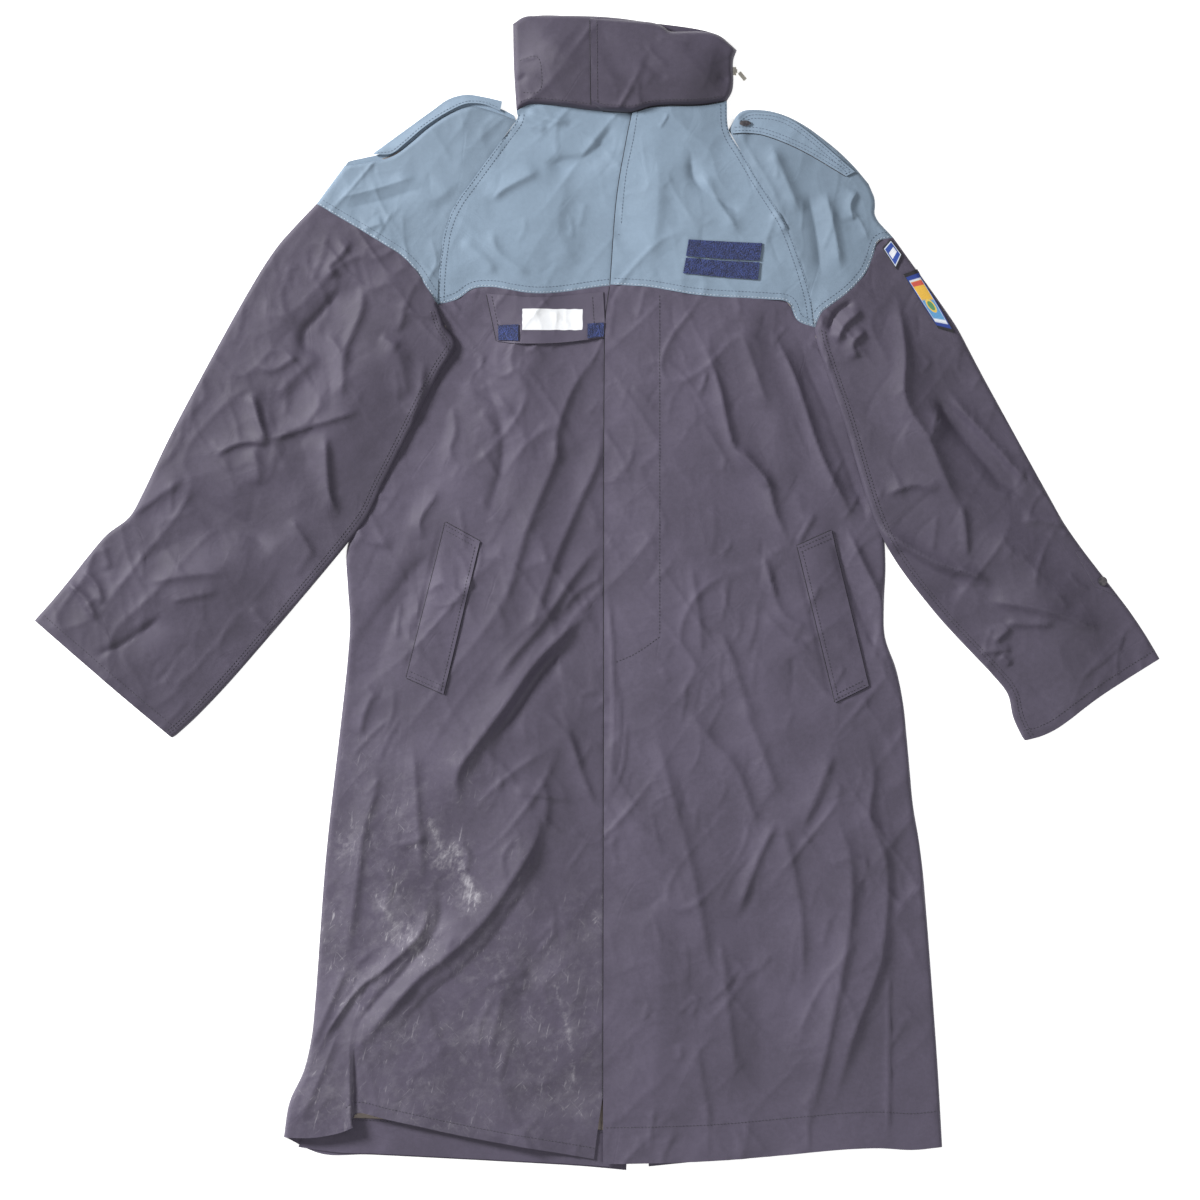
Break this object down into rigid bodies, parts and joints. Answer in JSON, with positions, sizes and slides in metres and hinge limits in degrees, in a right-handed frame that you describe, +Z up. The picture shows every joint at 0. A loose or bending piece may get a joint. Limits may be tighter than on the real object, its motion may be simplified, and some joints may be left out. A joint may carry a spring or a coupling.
{
  "type": "police raincoat",
  "caption": "Long two-tone raglan-sleeved uniform raincoat with a stand collar and shoulder straps, closed and laid flat on its back.",
  "frame": {"origin": "under the middle of the laid-out coat's box, on the surface it lies on", "axes": "+Y from the hem towards the collar, +X towards the wearer's left sleeve, +Z up from the surface"},
  "size_m": [1.2366, 1.2712, 0.0254],
  "materials": {
    "slate_cloth": "coated plain weave, slate grey with a purple cast, matte with a faint sheen",
    "sky_cloth": "coated plain weave, grey-blue, matte",
    "loop_pile": "navy loop pile, fuzzy and matte",
    "badge_cloth": "embroidered twill",
    "zip_tape": "woven tape",
    "zip_metal": "worn plated metal",
    "button_horn": "satin moulded"
  },
  "bodies": {
    "coat": {"back_hem_turn_up": "slate_cloth", "back_left_body": "slate_cloth", "back_right_body": "slate_cloth", "collar_back": "slate_cloth", "collar_left": "slate_cloth", "collar_right": "slate_cloth", "cuff_tab": "slate_cloth", "front_left_body": "slate_cloth", "front_right_body": "slate_cloth", "name_flap": "slate_cloth", "pocket_welt_left": "slate_cloth", "pocket_welt_right": "slate_cloth", "sleeve_left_back": "slate_cloth", "sleeve_left_front": "slate_cloth", "sleeve_right_back": "slate_cloth", "sleeve_right_front": "slate_cloth", "back_yoke": "sky_cloth", "epaulette_left": "sky_cloth", "epaulette_right": "sky_cloth", "front_left_yoke": "sky_cloth", "front_right_yoke": "sky_cloth", "sleeve_left_cap_back": "sky_cloth", "sleeve_left_cap_front": "sky_cloth", "sleeve_right_cap_back": "sky_cloth", "sleeve_right_cap_front": "sky_cloth", "chest_loop_lower": "loop_pile", "chest_loop_upper": "loop_pile", "flap_loop_pad_left": "loop_pile", "flap_loop_pad_right": "loop_pile", "sleeve_badge": "badge_cloth", "sleeve_title": "badge_cloth", "hood_zip_tape": "zip_tape", "hood_zip_slider": "zip_metal", "cuff_button": "button_horn", "epaulette_button": "button_horn"},
    "zip_pull": {"hood_zip_pull": "zip_metal"}
  },
  "joints": [
    {"name": "zip_pull_swing", "type": "hinge", "parent": "coat", "child": "zip_pull", "pos_m": [0.1564, 0.57277, 0.00095], "axis": [-0.766, -0.6428, 0], "range_deg": [0, 75]}
  ]
}
